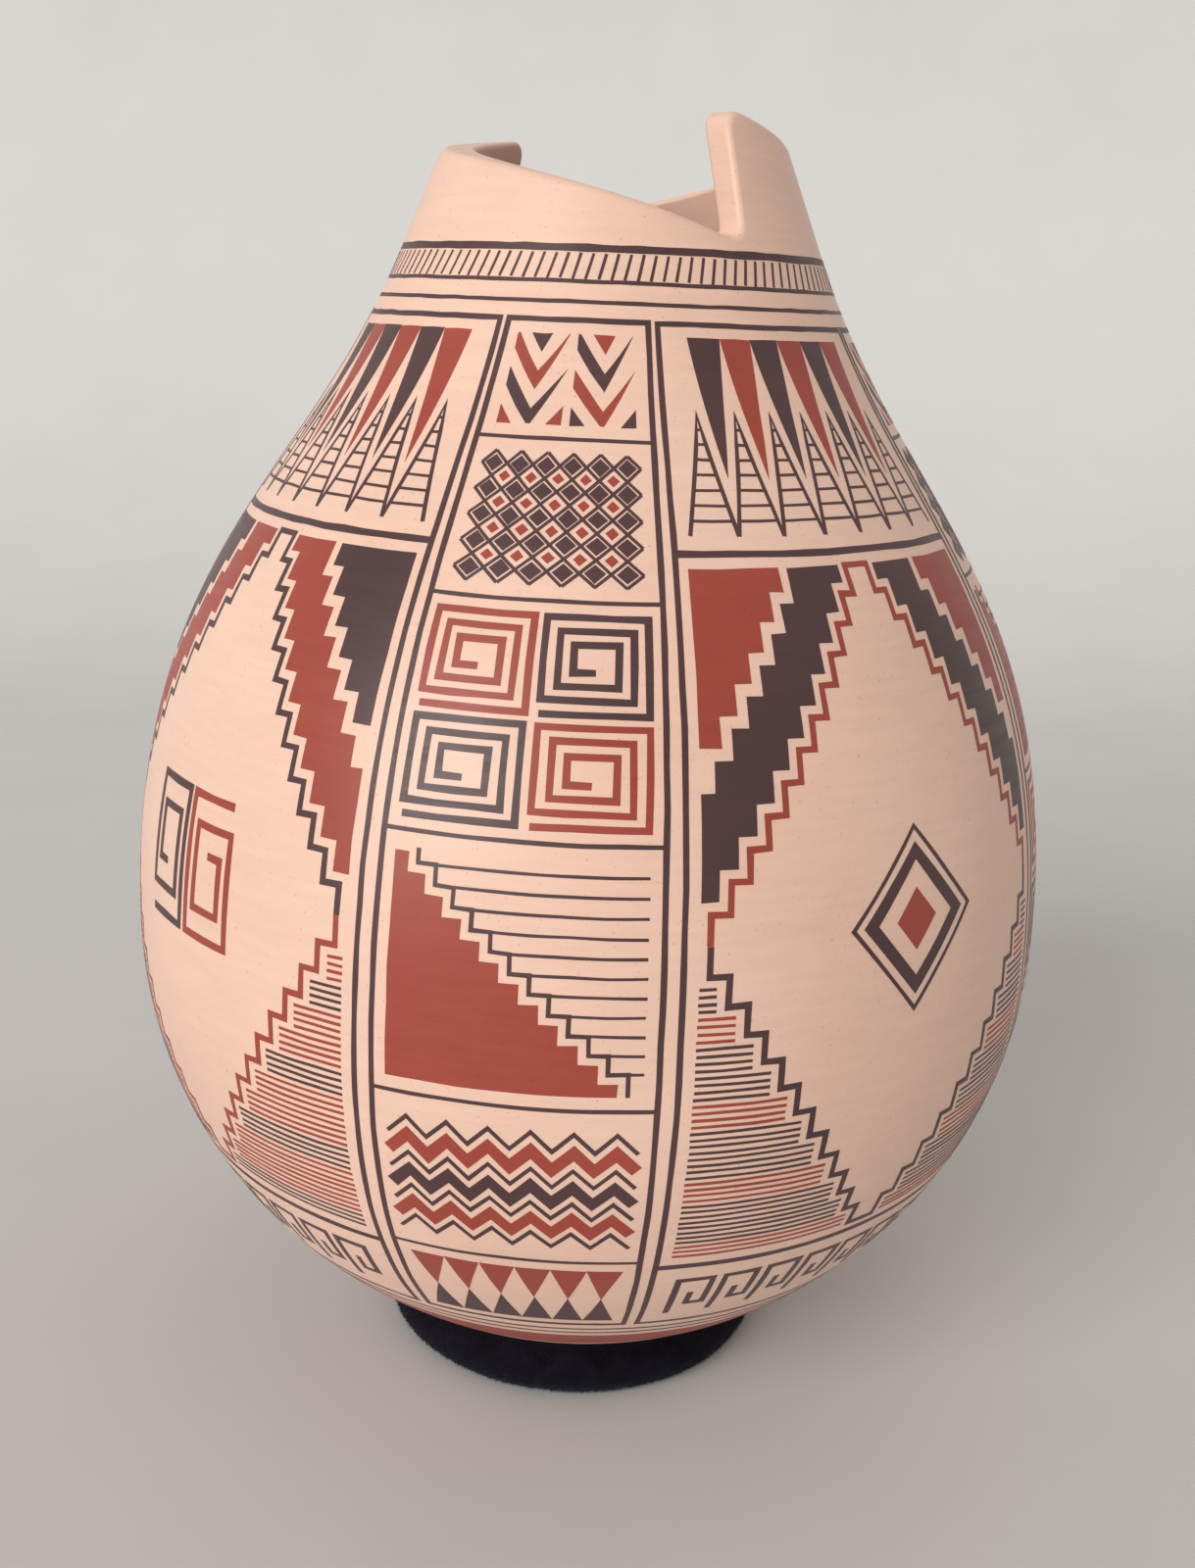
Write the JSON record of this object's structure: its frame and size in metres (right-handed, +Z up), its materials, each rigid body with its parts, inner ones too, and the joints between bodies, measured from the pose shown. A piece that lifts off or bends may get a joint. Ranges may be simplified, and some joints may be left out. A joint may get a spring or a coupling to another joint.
{
  "type": "pottery olla",
  "caption": "Egg-shaped painted clay olla with a narrow neck and a rim cut into ramps, resting its rounded base in a fabric-covered ring.",
  "frame": {"origin": "on the table, under the centre of the ring", "axes": "+Z up along the vessel's axis; -Y towards the viewer of the picture, +X to the viewer's right"},
  "size_m": [0.2, 0.2, 0.2722],
  "materials": {
    "clay": "unglazed fired clay, burnished to a satin sheen, painted with dark and red slip",
    "velvet": "short-pile velvet, blue-black",
    "hose": "plain extruded hose, dull",
    "dowel": "bare wood",
    "thread": "twisted sewing thread"
  },
  "bodies": {
    "stand": {"ring_cover": "velvet", "ring_core": "hose", "core_plug": "dowel", "cover_stitches": "thread"},
    "vessel": {"olla": "clay"}
  },
  "joints": [
    {"name": "vessel_lift", "type": "slide", "parent": "stand", "child": "vessel", "axis": [0, 0, 1], "range_m": [0, 0.1]}
  ]
}
